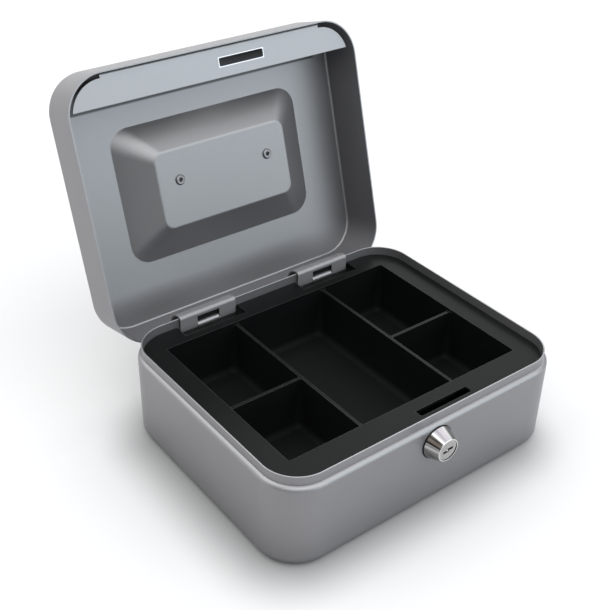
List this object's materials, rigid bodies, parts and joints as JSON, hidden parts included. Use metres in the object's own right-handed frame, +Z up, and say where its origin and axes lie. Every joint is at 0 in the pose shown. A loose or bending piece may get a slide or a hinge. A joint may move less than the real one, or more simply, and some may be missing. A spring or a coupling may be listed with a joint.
{
  "type": "cash box",
  "caption": "Steel cash box with a lid on gooseneck hinges, a folding handle set in a lid well, a key-operated cam lock and a lift-out plastic coin tray with compartments.",
  "frame": {"origin": "centre of the flat underside of the base", "axes": "+X to the user's right, +Y to the hinges at the back, +Z up; the lid stands open at rest"},
  "size_m": [0.2, 0.2425, 0.2007],
  "materials": {
    "paint": "satin silver-grey powder coat",
    "tray_plastic": "fine-grained black",
    "chrome": "bright plated",
    "zinc_steel": "zinc plated",
    "brass": "stamped, plain"
  },
  "bodies": {
    "base": {"base_shell": "paint", "tray_rest_left": "paint", "tray_rest_right": "paint", "hinge_leaf_left": "paint", "hinge_leaf_right": "paint", "hinge_pin_left": "zinc_steel", "hinge_pin_right": "zinc_steel", "lock_housing": "chrome", "lock_washer": "zinc_steel", "lock_nut": "zinc_steel"},
    "lid": {"lid_shell": "paint", "lock_plate": "paint", "hinge_arm_left": "paint", "hinge_arm_right": "paint", "handle_bracket_left": "chrome", "handle_bracket_right": "chrome", "handle_rivet_left": "zinc_steel", "handle_rivet_right": "zinc_steel"},
    "handle": {"carry_handle": "chrome"},
    "tray": {"coin_tray": "tray_plastic"},
    "plug": {"lock_plug": "chrome", "lock_cam": "zinc_steel", "cam_washer": "zinc_steel", "cam_screw": "zinc_steel"},
    "wafers": {"lock_wafer_1": "brass", "lock_wafer_2": "brass", "lock_wafer_3": "brass", "lock_wafer_4": "brass"}
  },
  "joints": [
    {"name": "lid_hinge", "type": "hinge", "parent": "base", "child": "lid", "pos_m": [0, 0.07697, 0.0512], "axis": [-1, 0, 0], "range_deg": [-105.7, 0]},
    {"name": "tray_lift", "type": "slide", "parent": "base", "child": "tray", "axis": [0, 0, 1], "range_m": [0, 0.07]},
    {"name": "lock_turn", "type": "hinge", "parent": "base", "child": "plug", "pos_m": [0, -0.08, 0.0423], "axis": [0, 1, 0], "range_deg": [-90, 0]},
    {"name": "handle_swing", "type": "hinge", "parent": "lid", "child": "handle", "pos_m": [0, 0.12672, 0.13026], "axis": [1, 0, 0], "range_deg": [-15.7, 74.3]},
    {"name": "wafer_slide", "type": "slide", "parent": "plug", "child": "wafers", "axis": [1, 0, 0], "range_m": [-0.0011, 0]}
  ]
}
